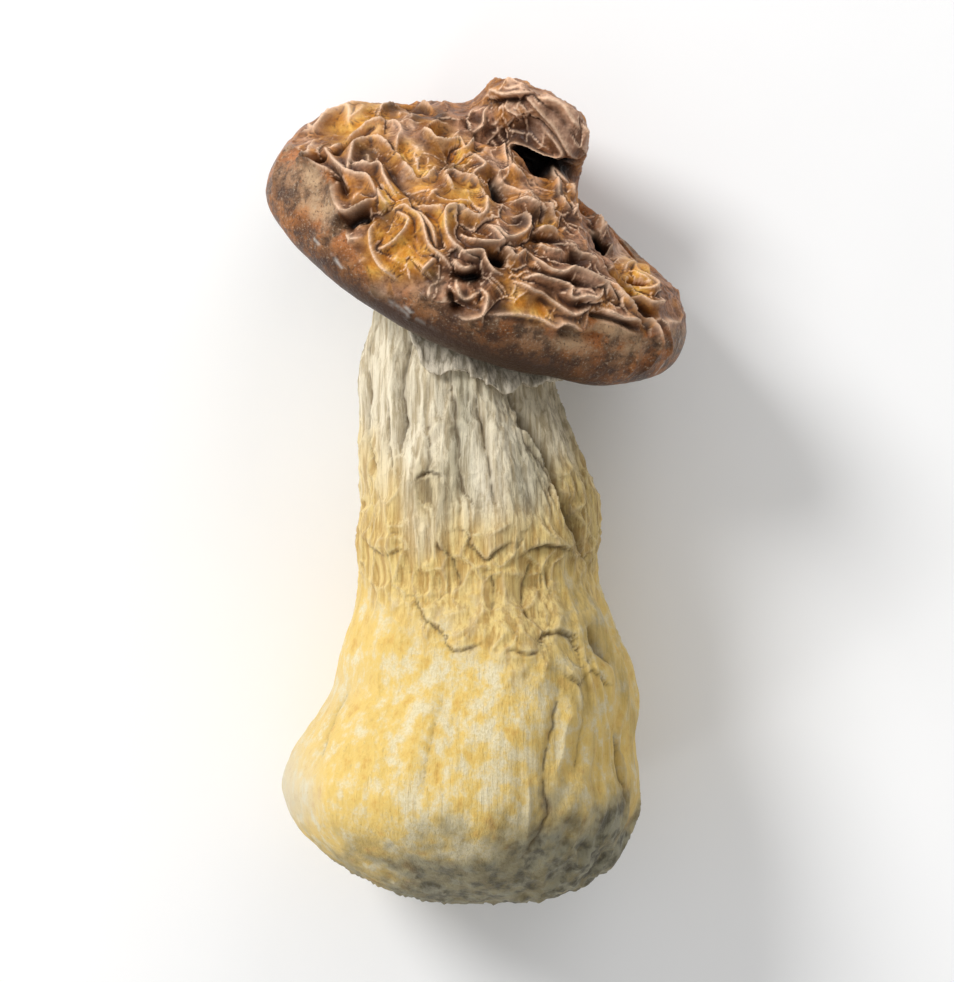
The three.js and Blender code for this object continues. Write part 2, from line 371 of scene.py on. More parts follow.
def make_camera():
    """Looks straight down, with the mushroom filling most of the picture's height."""
    low, high = cad_low, cad_high
    data = bpy.data.cameras.new("camera")
    camera = bpy.data.objects.new("camera", data)
    bpy.context.scene.collection.objects.link(camera)
    data.lens, data.sensor_width = 150, 36
    shown = (high.y - low.y) / SHARE_OF_PICTURE
    height = high.z * 0.6 + shown * data.lens / data.sensor_width
    camera.location = ((low.x + high.x) / 2, (low.y + high.y) / 2, height)
    camera.rotation_euler = (0, 0, 0)
    data.clip_start, data.clip_end = 0.01, 20
    bpy.context.scene.camera = camera


def make_light(name, place, size, power):
    data = bpy.data.lights.new(name, "AREA")
    data.shape, data.size, data.energy = "DISK", size, power
    light = bpy.data.objects.new(name, data)
    bpy.context.scene.collection.objects.link(light)
    look_from(light, place, (0, 0, 0.01))


def make_studio():
    make_light("key", (-0.34, 0.28, 0.36), 0.22, 2.4)
    make_light("low_left", (-0.34, -0.30, 0.14), 0.07, 0.28)
    make_light("far_fill", (0.22, 0.46, 0.36), 0.40, 0.7)
    world = bpy.data.worlds.new("studio")
    world.use_nodes = True
    background = world.node_tree.nodes["Background"]
    background.inputs["Color"].default_value = (1, 1, 1, 1)
    background.inputs["Strength"].default_value = 0.50
    bpy.context.scene.world = world
    mesh = bpy.data.meshes.new("floor")
    half = 1.5
    corners = [(-half, -half, 0), (half, -half, 0), (half, half, 0), (-half, half, 0)]
    mesh.from_pydata(corners, [], [(0, 1, 2, 3)])
    floor = bpy.data.objects.new("floor", mesh)
    bpy.context.scene.collection.objects.link(floor)
    shader = Shader("pale_floor")
    tone = shader.mix(shader.noise(0.08, 2), (0.93, 0.93, 0.93), (0.96, 0.96, 0.96))
    mesh.materials.append(shader.finish(tone, 0.7))
    bpy.context.scene.view_settings.view_transform = "Standard"


make_camera()
make_studio()


# ---- The cap ----
# Raised folds of the skin, as lines seen from above, in millimetres from the cap's middle.
# These points weren't chosen by hand. They were read off the photo, and a scratch program turned them
# into millimetres, so this table should be drawn again with fewer points.
FOLDS = (
    # far left, below the edge
    ((-5.9, 11.7), (-6.6, 11.1), (-7.1, 10.8), (-7.3, 10.2)),
    ((-5.9, 11.7), (-5.1, 11.6), (-4, 11.1), (-3.2, 10.6), (-2.4, 10.4), (-1.7, 10.7)),
    ((-6.3, 9.5), (-7.7, 9.2), (-8.4, 8.8), (-9.1, 8.4), (-9.6, 8), (-10.1, 7.5), (-10.7, 7.4)),
    ((-11.7, 8.4), (-11.9, 7.9), (-12, 7.2), (-12.1, 6.6), (-12.9, 6.5)),
    ((-13.1, 6.1), (-12.2, 6), (-11.2, 5.6), (-10.2, 5.3)),
    # around the four-sided hollow on the left, and the arch above it
    ((-11.1, 7.4), (-10.6, 6.6), (-10.1, 5.9), (-8.9, 5), (-8, 4.6), (-7.5, 4.2), (-7.1, 3.6)),
    ((-7.1, 3.6), (-7.3, 3.2), (-8, 2.8), (-9.2, 2.3), (-9.7, 2.7), (-10.1, 3.7), (-10.2, 4.8)),
    ((-9.4, 5.4), (-9.2, 6.2), (-9.1, 7.4), (-8.4, 7.7), (-7.8, 8), (-7.3, 7.9), (-6.3, 7.1), (-5.9, 7)),
    ((-5.9, 7), (-5.9, 7.6), (-5.5, 8.6), (-5.9, 9.1), (-6.7, 9.4)),
    ((-5.9, 7), (-5.6, 6.4), (-5.3, 5.7), (-4.8, 5.2), (-4.1, 4.7), (-3.4, 5.1), (-3.1, 6)),
    ((-7.1, 3.9), (-6.8, 3.3), (-6.2, 2.6)),
    ((-9.1, 6), (-7.9, 5.5), (-7, 5.7), (-6.6, 4.7), (-5.9, 3.7)),
    # the middle
    ((-1.7, 4.1), (-2.3, 4.8), (-2.2, 5.4), (-1.7, 5.5), (-1.2, 5.1), (-0.3, 4.9)),
    ((-2.2, 9.7), (-3.1, 9.5), (-3.8, 8.8), (-3.4, 8.3), (-2.8, 7.9), (-1.7, 7.9), (-1.3, 8.1), (-0.7, 7.4)),
    ((-0.5, 6.9), (0, 6.5), (0.5, 6), (-0.2, 5.4), (-0.4, 5)),
    ((-1.4, 5.4), (-0.8, 4.9), (0, 4.5), (0.6, 3.8)),
    ((-1.4, 7.5), (-0.8, 7.3), (-0.3, 8.1), (-0.5, 9.1)),
    ((-1.4, 2.4), (-0.8, 2.2), (0, 1.9), (0.6, 2.2), (0.7, 2.9), (0.7, 3.8)),
    # around the brightest hollow, near the left edge
    ((-6.1, 2.5), (-5.3, 2.8), (-4.8, 2.5), (-4.2, 2.1), (-3.9, 1.5), (-3.7, 0.7), (-3.4, -0.1), (-2.9, -0.6),
     (-2.3, -1.1), (-1.9, -1.6)),
    (
        (-5.8, 2.5), (-5.3, 2.1), (-4.9, 1.8), (-5.1, 1.1), (-5.4, 0.7), (-5.9, 0.2), (-6.6, -0.2),
        (-7.1, -0.3),
    ),
    ((-7.3, 1.6), (-7.5, 0.8), (-7.4, -0.3), (-6.9, -1.3), (-6.3, -1.9), (-5.8, -2.5)),
    ((-4.4, 2.6), (-3.9, 2), (-3.4, 1.4), (-3.1, 0.8), (-2.9, -0.2)),
    ((-4.2, 2.9), (-3.6, 2.6), (-2.8, 2.4), (-2.1, 2.2)),
    ((-2.9, -1), (-3.5, -1.6), (-3.9, -2)),
    # the long oval hollow and what lies below it
    ((0.1, 2.2), (-0.7, 2.3), (-1.5, 2.4), (-2.1, 2.2), (-2.2, 1.5), (-2.1, 0.7), (-1.7, 0), (-1.2, -0.5),
     (-0.7, -0.9), (0.1, -1)),
    ((-1, 0.7), (-0.4, 0.2), (0.4, 0), (1.7, 0), (1.5, 0.5), (1.1, 1), (0.7, 1.5)),
    ((-1.7, -1.1), (-1.3, -1.6), (-0.8, -1.8), (-0.2, -1.6)),
    ((-1.4, -0.4), (-0.8, -0.7), (0.3, -0.7), (0.7, -1.3), (1.2, -1.9), (1.9, -2.2)),
    ((1.9, -0.2), (2.5, -1), (3.1, -0.7), (3.5, -0.3)),
    ((-1.5, -2.6), (-1.3, -3.3), (-1.1, -3.7), (-0.7, -3.9), (0.1, -3.5)),
    # long folds that run along the near side towards the right
    ((3.6, -0.3), (4.1, -1), (4.5, -1.4), (5.1, -1.8), (5.9, -2), (6.6, -1.8), (7.3, -1.9), (8.2, -2.2),
     (8.9, -2.6), (9.6, -3.2), (10.1, -3.7)),
    ((3.4, -2.4), (4.2, -2.2), (5, -2.4), (5.8, -2.6), (6.5, -3), (6.4, -3.5), (6.8, -3.8), (7.7, -3.6),
     (8.4, -3.7), (8.9, -3.3), (9.1, -2.9)),
    ((2.6, -2.6), (3.3, -2.9), (3.9, -3.3), (4.6, -3.5), (5.3, -4), (5.9, -4.5), (6.6, -4.9), (7.3, -4.8),
     (8.1, -4.4)),
    ((-1.4, -5.1), (-0.8, -5.2), (0.3, -5), (0.6, -4.4), (0.7, -3.7), (0.3, -3.2)),
    ((0.7, -5), (1.7, -4.9), (2.7, -4.9), (3.9, -5.1), (4.6, -5.3), (5.4, -5.7), (6, -5.5), (6.6, -5.6),
     (7.3, -5.9), (7.7, -5.2), (8, -4.8)),
    ((8.7, -4.4), (9.5, -4.8), (10.4, -5.1), (11.3, -5.2), (12.2, -5.6)),
    # the edge between the main part and the right lobe, and the ribs on the lobe
    (
        (9.1, -2.2), (9.8, -2.8), (10.5, -3.6), (11.2, -4.4), (11.9, -5.2), (12.6, -5.7),
        (12.8, -6.3), (12.9, -7.2),
    ),
    ((9.3, -0.2), (10, 0.5), (10.7, 1), (11.3, 0.5), (11.8, -0.2), (12.2, -0.7), (12.6, -1.4), (13, -2.1)),
    (
        (10.6, -2.1), (10.9, -1.3), (11.4, -1.2), (11.8, -1.7), (12.6, -2.1), (13.1, -2.5),
        (12.8, -2.8), (12, -2.8),
    ),
    ((11.3, -3.4), (12, -3.7), (12.7, -4.1), (13.4, -3.8), (13.5, -3.4)),
    # small folds between the middle and the lobe
    ((4.1, 1), (5, 1.1), (5.9, 1), (6.4, 1.5)),
    ((4.2, 0.1), (4.7, -0.2), (5.4, -0.5), (6.1, -0.5)),
    ((5, 3.4), (5.2, 2.5), (5.6, 1.7), (5.3, 1.3)),
    ((0.7, 1.5), (1.5, 0.9), (2, 0.3), (2.7, 0.5), (3.6, 1.2), (3.4, 2), (2.5, 2.1)),
    ((2.5, 3.6), (2.6, 3.2), (3.4, 3.3), (4.1, 3), (4.7, 2.6)),
    ((6, 6.2), (5.9, 5.6), (5.9, 4.5), (6.1, 3.3), (6.8, 2.9)),
    ((6, 6.2), (6.6, 5.3), (6.9, 4.2), (7.2, 3.3), (7.1, 2.6)),
    # on the fold that stands up, and around the hollow under it
    ((0.7, 12.2), (1.3, 12), (2, 11.7), (2.9, 11.8), (3.8, 11.8)),
    ((2, 11.2), (2.3, 10.6), (2.9, 10.3), (3.1, 9.9)),
    ((3.6, 11.4), (4.3, 10.9), (5, 10.2), (5.7, 9.6), (6.4, 8.7), (6.8, 8), (7.3, 7.5)),
    ((4.5, 11.4), (5.4, 11.2), (6.4, 10.7), (7, 9.9), (7.6, 9.3)),
    (
        (2.5, 7), (2.3, 7.7), (2.6, 8.3), (3.4, 8.3), (4.2, 8), (5, 7.7), (5.7, 7.8), (6.1, 8.3),
        (5.7, 8.9), (4.7, 9.5),
    ),
    ((7.7, 9.6), (8.3, 8.9), (8.5, 8.1), (8.4, 7.3), (8.1, 6.3)),
    ((0.8, 11), (0.6, 10.2), (0.4, 9.5), (-0.3, 8.8), (-0.4, 7.9)),
    ((2, 8.1), (1.9, 7.2), (2.2, 6.1)),
    ((2.3, 7.2), (2.3, 6.8), (2.6, 5.7), (3.6, 5.4), (5, 5.5)),
)

# Deep hollows: place, size and depth.
# Four of the places were turned into millimetres by the same program as FOLDS.
HOLLOWS = (
    (-4.6, 11.0, 1.2, 0.7), (-1.9, 6.8, 1.1, 0.8), (-7.8, 7.0, 0.9, 0.4), (1.3, -1.1, 0.7, 0.8),
    (-0.3, -2.4, 0.9, 0.8), (4.2, 2.2, 0.8, 1.2), (7.2, -0.9, 0.7, 1.0), (5.2, 6.9, 1.3, 0.9),
    (-0.1, 7.7, 0.6, 0.7), (2.0, 9.0, 1.0, 0.6), (9.0, 0.7, 0.7, 0.9), (1.8, -3.8, 0.8, 0.6),
    (5.0, -3.9, 0.8, 0.6), (-1.0, -4.2, 0.6, 0.6), (7.2, -4.3, 0.5, 0.5), (3.2, 9.3, 0.8, 0.5),
    (1.7, 4.2, 0.8, 0.7), (-2.5, 8.9, 0.7, 0.6), (-4.9, 0.4, 1.6, 0.5), (-0.6, 1.0, 0.8, 0.6),
)

# Spots painted nearly black-brown, partly the skin's own dark colour and partly painted shade deep in
# pockets: place and size.
DUSKS = (
    (-8.2, 2.2, 1.3), (-6.6, 2.2, 0.9), (-8.0, 7.0, 1.1), (-6.3, 11.0, 0.9), (-4.2, 10.4, 1.2),
    (-2.8, 10.3, 0.8), (-1.7, 6.7, 1.3), (0.0, -2.1, 1.3), (1.6, -1.2, 1.0), (4.6, 2.2, 1.1),
    (1.7, 3.9, 0.9), (3.1, 1.7, 0.9), (7.3, -0.9, 1.2), (9.4, 0.5, 1.0), (1.9, -4.6, 1.2),
    (-0.9, -3.9, 0.8), (3.4, 8.9, 1.2), (5.9, 3.9, 0.7), (7.1, 2.2, 0.7), (-3.0, -2.5, 0.9),
    (1.6, -6.2, 2.0), (-1.7, -5.4, 1.3), (5.9, -8.8, 1.7), (8.8, -9.0, 1.8), (13.6, -6.5, 1.0),
    (6.3, -6.0, 0.8), (-14.3, 4.3, 1.0), (-12.4, 1.3, 1.2), (-10.8, -0.8, 1.0), (12.0, -9.0, 1.2),
)

# Skin that is pale pinkish tan, and on the margin a painted highlight band: place and size.
PALES = (
    (4.6, 11.0, 2.6), (6.9, 9.3, 2.0), (2.3, 11.4, 1.9), (7.9, 9.2, 1.6), (1.4, 6.4, 1.2),
    (1.9, 8.7, 0.8), (3.8, 4.7, 1.2), (-5.9, 8.7, 1.4), (-7.6, 8.7, 1.0), (-12.2, 7.9, 0.9),
    (-11.8, 4.9, 1.2), (-11.2, 2.8, 1.4), (-7.0, -3.3, 1.2), (9.9, -5.2, 1.7), (7.1, -7.1, 1.6),
    (10.9, -7.1, 1.0), (7.8, -3.3, 1.3), (10.9, 0.1, 1.0),
)

# Where the outline swells or falls in: place, size and how far the skin is moved.
SHIFTS = (
    ((1.7, 11.9), 1.9, (-0.4, 1.1)), ((-2.2, 11.4), 2.4, (0.0, 0.5)), ((12.0, 1.6), 3.2, (-0.55, -0.75)),
)

# Painted highlight: thin pale glint streaks along the lower edge of the glossy margin: line, width and
# strength.
SCUFFS = (
    (((-6.6, -3.9), (-5.1, -4.8), (-3.8, -5.6), (-2.9, -6.2)), 0.16, 1.0),
    (((-5.2, -4.4), (-4.4, -4.9)), 0.12, 1.0),
    (((-10.4, -0.6), (-9.9, -1.3), (-9.4, -2.0)), 0.13, 0.8),
    (((-11.6, 0.6), (-11.2, 0.1)), 0.12, 0.6),
    (((12.9, -9.3), (13.7, -8.2)), 0.11, 0.6),
    (((14.6, -7.5), (15.0, -6.3)), 0.11, 0.5),
)

# Narrow pockets and slits under folded-over skin: line, width and depth.
SLITS = (
    (((2.5, 8.0), (3.5, 7.5), (4.6, 6.9), (5.7, 6.6), (6.9, 6.4), (8.3, 5.9)), 0.80, 3.0),
    (((6.2, 6.9), (7.2, 6.6), (8.1, 7.0), (8.6, 7.9)), 0.60, 1.6),
    (((8.4, 1.9), (8.9, 0.4), (9.7, -1.4), (11.2, -3.2), (12.4, -4.9)), 0.30, 1.3),
    (((7.6, -4.9), (8.7, -5.0), (10.2, -5.3), (11.6, -5.9)), 0.24, 1.0),
    (((5.4, -6.2), (6.4, -6.1), (7.6, -6.4), (9.2, -6.5)), 0.40, 0.7),
    (((-12.3, 6.2), (-11.2, 6.6), (-10.4, 6.9), (-9.3, 8.0), (-8.2, 8.7), (-7.4, 9.2)), 0.32, 1.0),
    (((-10.2, 5.6), (-9.9, 4.7), (-9.5, 3.7)), 0.32, 0.9),
    (((-9.6, 1.2), (-8.8, 1.9), (-7.5, 2.1)), 0.50, 1.3),
    (((-6.6, 6.6), (-5.9, 5.4), (-5.0, 4.3), (-4.1, 3.3)), 0.60, 0.8),
    (((-0.4, 9.2), (0.1, 8.3), (0.4, 7.4)), 0.30, 1.0),
    (((-1.9, -1.9), (-1.0, -2.3), (0.4, -2.0)), 0.40, 1.1),
    (((-1.9, -3.4), (-1.8, -4.3), (-1.2, -4.8)), 0.26, 0.9),
    (((0.6, -0.9), (1.4, -1.0), (2.2, -1.1)), 0.40, 1.1),
    (((1.0, 5.2), (1.6, 4.4), (1.9, 3.4)), 0.35, 0.9),
    (((3.8, 0.7), (5.0, 0.5), (6.2, 0.6)), 0.28, 0.8),
    (((3.9, -1.8), (5.2, -2.3), (6.4, -2.5), (7.8, -2.9)), 0.26, 0.8),
    (((10.9, -2.3), (11.6, -2.3), (12.4, -2.5)), 0.24, 0.8),
    (((1.0, 11.3), (2.2, 11.3), (3.3, 11.2)), 0.28, 0.7),
)

# Where the crumpled skin ends and the smooth margin begins, on the side that is up.
SKIN_EDGE = (
    (-14.6, 9.8), (-12.9, 7.0), (-10.5, 5.0), (-9.7, 2.2), (-9.2, 0.0), (-8.0, -1.6),
    (-7.2, -3.3), (-5.5, -3.7),
    (-4.0, -3.1), (-2.6, -4.1), (-1.7, -5.0), (1.4, -5.1), (4.6, -5.9), (6.7, -5.9), (8.0, -5.0),
    (10.9, -6.0),
    (13.0, -6.2), (15.1, -5.4),
)

# Low creases that cross the smooth margin: line, width and depth.
MARGIN_CREASES = (
    (((12.6, -6.0), (12.9, -7.1), (12.6, -8.0), (11.9, -9.0)), 0.30, 0.5),
    (((10.9, -6.3), (11.5, -7.4), (11.3, -8.4), (10.9, -9.2)), 0.30, 0.4),
    (((13.6, -5.6), (14.1, -6.8), (13.9, -7.8)), 0.25, 0.4),
    (((-13.6, 7.6), (-14.4, 6.2), (-14.8, 4.6)), 0.40, 0.3),
    (((-9.4, 2.6), (-10.4, 1.2), (-11.9, 0.4)), 0.50, 0.35),
    (((-3.6, -3.4), (-4.6, -4.6), (-5.0, -5.6)), 0.40, 0.3),
)

# Warm, bright patches: place and size.
# Eleven of the places were turned into millimetres by the same program as FOLDS.
GLOWS = (
    (-4.9, 1.7, 1.2), (-5.4, -0.4, 1.8), (-1.2, 7.4, 0.9), (-0.8, 3.4, 1.4), (-6.0, 3.4, 0.9),
    (-2.5, 1.7, 0.9), (4.5, -4.8, 1.0), (4.1, -6.6, 1.2), (-7.6, -2.0, 0.9), (-2.6, 8.5, 0.9),
    (11.6, -1.4, 1.1), (-8.6, 9.7, 1.8), (-4.0, 5.4, 0.9), (2.9, -4.0, 0.8), (5.0, 1.6, 0.5),
    (-5.0, 7.0, 0.8), (11.8, -3.0, 0.9),
)


def smooth_line(points, spacing):
    """Points evenly close together on a rounded line through the given ones."""
    p = np.array(points, float)
    ends = np.vstack([2 * p[0] - p[1], p, 2 * p[-1] - p[-2]])
    out = []
    for i in range(1, len(ends) - 2):
        a, b, c, d = ends[i - 1: i + 3]
        count = max(2, int(np.linalg.norm(c - b) / spacing))
        for t in np.arange(count) / count:
            out.append(0.5 * (2 * b + (c - a) * t + (2 * a - 5 * b + 4 * c - d) * t * t
                              + (3 * b - a - 3 * c + d) * t ** 3))
    out.append(p[-1])
    return np.array(out)


def laid_on(surface, marks, middle, spacing=0.09):
    """Lays marks seen from above on a surface. A mark is (line, width, depth).

    Gives the points, and each one's width and depth, which fades towards the line's ends.
    """
    spots, widths, depths = [], [], []
    for line, width, depth in marks:
        flat = smooth_line(line, spacing)
        along = np.linspace(0, 1, len(flat))
        fade = np.minimum(1, 0.3 + 4.0 * np.minimum(along, 1 - along))
        for (x, y), share in zip(flat, fade):
            hit = surface.ray_cast(Vector((middle[0] + x, middle[1] + y, 200)), Vector((0, 0, -1)))
            if hit[0] is not None:
                spots.append(hit[0])
                widths.append(width)
                depths.append(depth * share)
    return spots, np.array(widths), np.array(depths)


def near_marks(surface, marks, middle, p, wanted):
    """The way from the nearest mark to each wanted point, with the mark's width and depth there."""
    spots, widths, depths = laid_on(surface, marks, middle)
    tree = KDTree(len(spots))
    for i, spot in enumerate(spots):
        tree.insert(spot, i)
    tree.balance()
    away, width, depth = np.full((len(p), 3), 9.0), np.ones(len(p)), np.zeros(len(p))
    for i in np.nonzero(wanted)[0]:
        spot, index, _ = tree.find(p[i])
        away[i] = p[i] - spot
        width[i], depth[i] = widths[index], depths[index]
    return away, width, depth


def cap_local(p):
    """Points in the cap's own frame: sideways, towards the crown, and towards the near edge."""
    q = p - CAP_MIDDLE
    return np.stack([q @ SIDEWAYS, q @ CROWN, q @ NEAR], 1)


def margin_mask(p, local, facing):
    """1 on the smooth rolled margin and underneath, 0 where the skin is crumpled."""
    rel = p - CAP_MIDDLE
    line = np.array(SKIN_EDGE)
    height = rel[:, 1] - np.interp(rel[:, 0], line[:, 0], line[:, 1])
    in_sight = 1 - step(-0.4, 0.5, height + 0.35 * noise(p, 1.6, 5))
    band = 1.9 + 0.5 * noise(p, 3.0, 6)
    hidden = 1 - step(-0.5, 0.9, local[:, 1] - band)
    near = step(-3.0, 0.0, local[:, 2])
    under = (1 - step(-0.25, 0.2, facing)) * (1 - step(4.5, 6.5, local[:, 1]))
    return np.maximum(near * in_sight + (1 - near) * hidden, under)


def blobs(rel, marks, ragged):
    """1 inside marks of x, y and size seen from above, and 0 outside, with ragged edges."""
    value = np.zeros(len(rel))
    for x, y, size in marks:
        away = np.hypot(rel[:, 0] - x, rel[:, 1] - y) / size
        value = np.maximum(value, 1 - step(0.1, 1.15, away + ragged))
    return value


def settled_cap(mesh, e):
    """The cap's points, smoothed, and moved at SHIFTS."""
    smooth = relaxed(positions(mesh), e, 30)
    set_positions(mesh, smooth)
    upper = step(-0.6, -0.1, normals(mesh) @ CROWN)
    for place, size, shift in SHIFTS:
        away = np.hypot(*(smooth[:, :2] - CAP_MIDDLE[:2] - place).T)
        smooth[:, :2] += (upper * bump(away, size))[:, None] * np.array(shift)
    set_positions(mesh, smooth)
    return smooth


def own_crumples(p, d, crumpled):
    """Hollow cells that the skin crumples into by itself, d millimetres away from the long folds."""
    free = crumpled * step(0.5, 2.0, d)
    wide, tint = cells(warped(p, 2.6, 0.9, 60), 3.1, 70)
    small, _ = cells(warped(p, 1.1, 0.40, 80), 1.7, 90)
    tiny, _ = cells(warped(p, 0.7, 0.25, 84), 0.85, 92)
    crest = free * np.exp(-((wide / 0.045) ** 1.3))
    skirt = free * np.exp(-wide / 0.20)
    fine = crumpled * np.exp(-small / 0.07) * step(0.1, 0.4, d) * step(-0.7, 0.3, noise(p, 2.4, 95))
    tiny = crumpled * np.exp(-tiny / 0.08) * step(-0.3, 0.5, noise(p, 1.9, 97))
    return tint, crest, skirt, fine, tiny


def cap_piece():
    obj = grown("cap", 0.21, 8)
    mesh = obj.data
    e = edges(mesh)
    p = settled_cap(mesh, e)
    n = normals(mesh)
    local, rel = cap_local(p), p - CAP_MIDDLE
    facing = n @ CROWN
    reach = np.hypot(local[:, 0], local[:, 2])
    margin = margin_mask(p, local, facing)
    crumpled = 1 - margin
    seen = step(-0.1, 0.25, n[:, 2])

    surface = surface_at(mesh, p)
    folds = [(line, 1.0, 1.0) for line in FOLDS]
    wanted = (n[:, 2] > -0.2) & (facing > -0.3)
    away, _, strength = near_marks(surface, folds, CAP_MIDDLE, p, wanted)
    d = np.linalg.norm(away, axis=1)
    aloft = step(4.5, 6.5, local[:, 1])
    strength *= np.maximum(step(-0.25, 0.2, facing), aloft) * (0.85 + 0.3 * noise(p, 2.2, 8))
    strength *= 1 - 0.5 * bump(np.hypot(rel[:, 0] + 6.2, rel[:, 1] - 11.6), 1.4)
    crest = strength * np.exp(-((d / 0.13) ** 1.3))
    skirt = strength * (0.70 * np.exp(-d / 0.55) + 0.30 * np.exp(-d / 1.5))

    tint, own_crest, own_skirt, fine, tiny = own_crumples(p, d, crumpled)
    away, width, depth = near_marks(surface, SLITS, CAP_MIDDLE, p, wanted)
    slit = depth * bump(np.linalg.norm(away, axis=1), width)
    away, width, depth = near_marks(surface, MARGIN_CREASES, CAP_MIDDLE, p, wanted)
    crease = depth * np.exp(-np.linalg.norm(away, axis=1) / width)
    hollow = np.zeros(len(p))
    for x, y, size, deep in HOLLOWS:
        hollow += deep * bump(np.hypot(rel[:, 0] - x, rel[:, 1] - y), size) * seen
    ragged = 0.5 * noise(p, 0.9, 12)
    glow = np.zeros(len(p))
    for x, y, size in GLOWS:
        away = np.hypot(rel[:, 0] - x, rel[:, 1] - y) / size
        glow = np.maximum(glow, bump(away + ragged * 0.5, 1.0) * seen)
    # Dark spots are dark skin with painted shade; pale ones are pale skin, and a painted highlight on the
    # margin.
    dusk, pale = blobs(rel, DUSKS, 0.5 * ragged) * seen, blobs(rel, PALES, 1.3 * ragged) * seen
    # Painted highlight: pale glint streaks where the glossy margin catches the light.
    away, width, depth = near_marks(surface, SCUFFS, CAP_MIDDLE, p, wanted)
    scuff = depth * bump(np.linalg.norm(away, axis=1), width) * step(-0.2, 0.5, noise(p, 0.35, 14) + 0.3)
    sunk = (hollow + slit) * (1 - 0.8 * np.exp(-d / 0.22))

    edge_on = 0.2 + 0.8 * step(0.12, 0.75, n[:, 2]) * np.maximum(step(-0.2, 0.3, facing), aloft)
    height = edge_on * (0.38 * crest + 0.95 * skirt + 0.26 * own_crest + 0.60 * own_skirt)
    height += 0.06 * tiny + (0.11 + 0.09 * step(-4, 4, rel[:, 0])) * fine
    height += crease - 0.38 * crumpled - 0.9 * sunk
    height += crumpled * (0.16 * noise(p, 1.9, 33) + 0.05 * rough(p, 0.8, 34, 2))
    height += margin * (0.10 * noise(p, 2.8, 35) + 0.012 * rough(p, 0.5, 36, 2))
    moved = p + n * height[:, None]
    # The fold that stands up hangs over the pocket below it.
    lip = bump(rel[:, 0] - 6.2, 3.0) * bump(rel[:, 1] - 8.5 + 0.15 * (rel[:, 0] - 5), 1.1) * seen
    moved += lip[:, None] * np.array([0.2, -1.0, 0.4])
    moved = relaxed(moved, e, 1, 0.15)
    moved[:, 2] = np.maximum(moved[:, 2], 0.0)
    set_positions(mesh, moved)

    around = relaxed(height[:, None], e, 70)[:, 0]
    bend = curving(mesh, moved, e)
    lit = (0.1 + 0.9 * step(0.45, 0.85, edge_on)) * (1 - 0.5 * dusk)
    paint(
        mesh,
        # Pale crest lines: partly the skin's worn colour, partly a painted highlight where the surface bends
        # sharply outwards.
        ridge=lit * np.maximum.reduce([crest, 0.8 * own_crest, step(0.5, 2.0, -bend)]),
        # Painted highlight: skin standing above the skin around it is painted lighter.
        raised=step(0.1, 0.6, height - around) * (1 - glow),
        # Painted shade: skin lower than the skin around it, and in sunk pockets, is painted darker.
        hollow=np.maximum(step(-0.12, 0.28, around - height) * crumpled, step(0.3, 0.9, sunk)),
        # Painted shade where the surface bends sharply inwards.
        crease=step(0.3, 1.5, bend),
        tint=relaxed(tint[:, None], e, 2)[:, 0],
        # Painted shade: the deepest parts of pockets and slits are painted nearly black.
        deep=step(0.7, 1.4, sunk),
        dusk=dusk,
        pale=pale,
        scuff=scuff,
        rim=margin,
        # Painted shade: the margin is painted darker towards its lowest part, where it turns down.
        low=1 - step(-1.5, 2.2, local[:, 1]),
        glow=glow * crumpled,
        # Painted shade on the underside of the rim.
        under=step(0.2, -0.3, facing) * step(CAP_RADIUS - 1.5, CAP_RADIUS - 4, reach),
    )
    return hand_over(obj, "cap_skin_and_flesh", "cap_skin", cap_material(), "cap")


